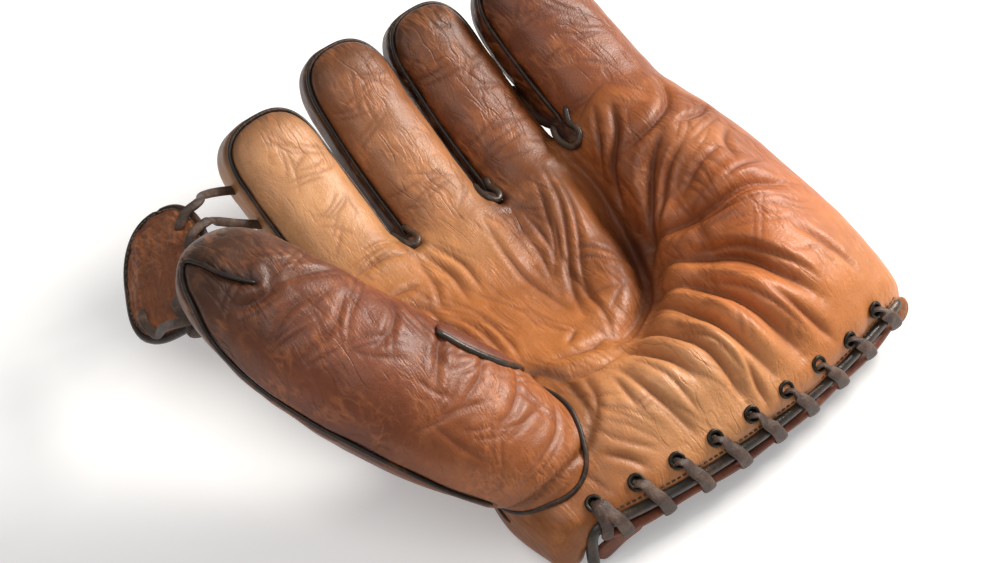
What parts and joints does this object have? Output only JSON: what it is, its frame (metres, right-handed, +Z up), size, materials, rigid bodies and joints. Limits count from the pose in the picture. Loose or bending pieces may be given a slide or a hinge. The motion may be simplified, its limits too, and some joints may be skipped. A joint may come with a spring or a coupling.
{
  "type": "baseball fielder's glove",
  "caption": "Five-finger leather fielder's glove for the left hand with padded thumb, little finger and heel, laced heel edge, small laced web and snapped wrist strap.",
  "frame": {"origin": "centre of the flat on the back of the hand that the glove rests on", "axes": "+X from the thumb side to the little-finger side, +Y from the wrist to the fingertips, +Z up out of the palm"},
  "size_m": [0.279, 0.2581, 0.1013],
  "materials": {
    "palm_leather": "worn tan cowhide",
    "digit_leather": "worn brown cowhide",
    "thumb_leather": "oiled dark red-brown cowhide",
    "web_leather": "dark wrinkled cowhide",
    "welt": "dark piping leather",
    "lace": "rawhide lacing",
    "lining": "soft lining leather",
    "felt": "wool felt padding",
    "eyelet": "blackened brass",
    "snap": "aged brass"
  },
  "bodies": {
    "palm": {"palm_leather": "palm_leather", "palm_pad": "felt", "hand_lining": "lining", "back_leather": "palm_leather", "palm_side_welt": "welt", "heel_binding": "welt", "heel_eyelets": "eyelet", "heel_lace": "lace", "thumb_seam_welt": "welt", "crotch_bindings": "welt", "wrist_tab": "palm_leather", "snap_stud": "snap"},
    "thumb": {"thumb_front_leather": "thumb_leather", "thumb_back_leather": "thumb_leather", "thumb_felt": "felt", "thumb_lining": "lining", "thumb_welt": "welt"},
    "web": {"web_pad": "felt", "web_front_leather": "web_leather", "web_back_leather": "web_leather", "web_binding": "welt", "web_index_lace": "lace", "web_thumb_lace": "lace"},
    "strap": {"wrist_strap": "palm_leather", "snap_cap": "snap"},
    "index_finger": {"index_finger_front_leather": "digit_leather", "index_finger_back_leather": "digit_leather", "index_finger_welt": "welt", "index_finger_lining": "lining"},
    "middle_finger": {"middle_finger_front_leather": "digit_leather", "middle_finger_back_leather": "digit_leather", "middle_finger_welt": "welt", "middle_finger_lining": "lining"},
    "ring_finger": {"ring_finger_front_leather": "digit_leather", "ring_finger_back_leather": "digit_leather", "ring_finger_welt": "welt", "ring_finger_lining": "lining"},
    "little_finger": {"little_finger_front_leather": "digit_leather", "little_finger_back_leather": "digit_leather", "little_finger_welt": "welt", "little_finger_lining": "lining", "little_finger_felt": "felt"}
  },
  "joints": [
    {"name": "thumb_close", "type": "hinge", "parent": "palm", "child": "thumb", "pos_m": [-0.036, -0.049, 0.0405], "axis": [-0.5569, 0.7956, 0.2387], "range_deg": [0, 11], "stiffness_Nm_per_rad": 1.5},
    {"name": "web_fold", "type": "hinge", "parent": "thumb", "child": "web", "pos_m": [-0.134, 0.038, 0.07], "axis": [-0.585, 0.7916, 0.1765], "range_deg": [-11.93, 0]},
    {"name": "index_flex", "type": "hinge", "parent": "palm", "child": "index_finger", "pos_m": [-0.0475, 0.05225, 0.04], "axis": [1, 0, 0], "range_deg": [0, 8.41], "stiffness_Nm_per_rad": 0.5},
    {"name": "middle_flex", "type": "hinge", "parent": "palm", "child": "middle_finger", "pos_m": [-0.0035, 0.05225, 0.04], "axis": [1, 0, 0], "range_deg": [0, 20], "stiffness_Nm_per_rad": 0.5},
    {"name": "ring_flex", "type": "hinge", "parent": "palm", "child": "ring_finger", "pos_m": [0.0395, 0.05225, 0.04], "axis": [1, 0, 0], "range_deg": [0, 20], "stiffness_Nm_per_rad": 0.5},
    {"name": "little_flex", "type": "hinge", "parent": "palm", "child": "little_finger", "pos_m": [0.088, 0.05225, 0.06], "axis": [1, 0, 0], "range_deg": [0, 15], "stiffness_Nm_per_rad": 0.8},
    {"name": "strap_open", "type": "hinge", "parent": "palm", "child": "strap", "pos_m": [0.09775, -0.07, 0.002], "axis": [0, -1, 0], "range_deg": [0, 80]}
  ],
  "couplings": [
    {"joint": "web_fold", "follows": "thumb_close", "ratio": -1.0389},
    {"joint": "index_flex", "follows": "thumb_close", "ratio": 0.7191}
  ]
}
